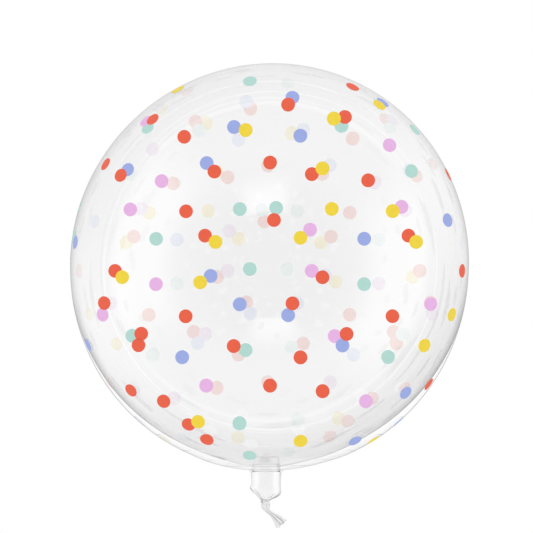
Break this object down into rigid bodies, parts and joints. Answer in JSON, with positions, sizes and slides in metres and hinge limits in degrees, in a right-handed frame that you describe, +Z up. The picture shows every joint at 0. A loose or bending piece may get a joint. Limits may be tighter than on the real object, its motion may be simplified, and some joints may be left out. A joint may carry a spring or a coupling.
{
  "type": "clear bubble balloon",
  "caption": "Round balloon of clear film with printed polka dots, its short neck gathered, knotted and trimmed; it lies on its side on a small flat.",
  "frame": {"origin": "middle of the small round flat in the ball's side that the balloon rests on", "axes": "+Z up, away from the surface that it rests on; +Y along the balloon's long axis towards the crown, so the tied neck points along -Y; +X across"},
  "size_m": [0.401, 0.4668, 0.3984],
  "materials": {
    "clear_film": "clear glossy plastic film, colourless",
    "ink_coral": "flat opaque printed ink, coral red",
    "ink_yellow": "flat opaque printed ink, yellow",
    "ink_blue": "flat opaque printed ink, soft blue",
    "ink_mint": "flat opaque printed ink, mint green",
    "ink_lilac": "flat opaque printed ink, lilac"
  },
  "bodies": {
    "root": {"balloon": "clear_film"}
  },
  "joints": []
}
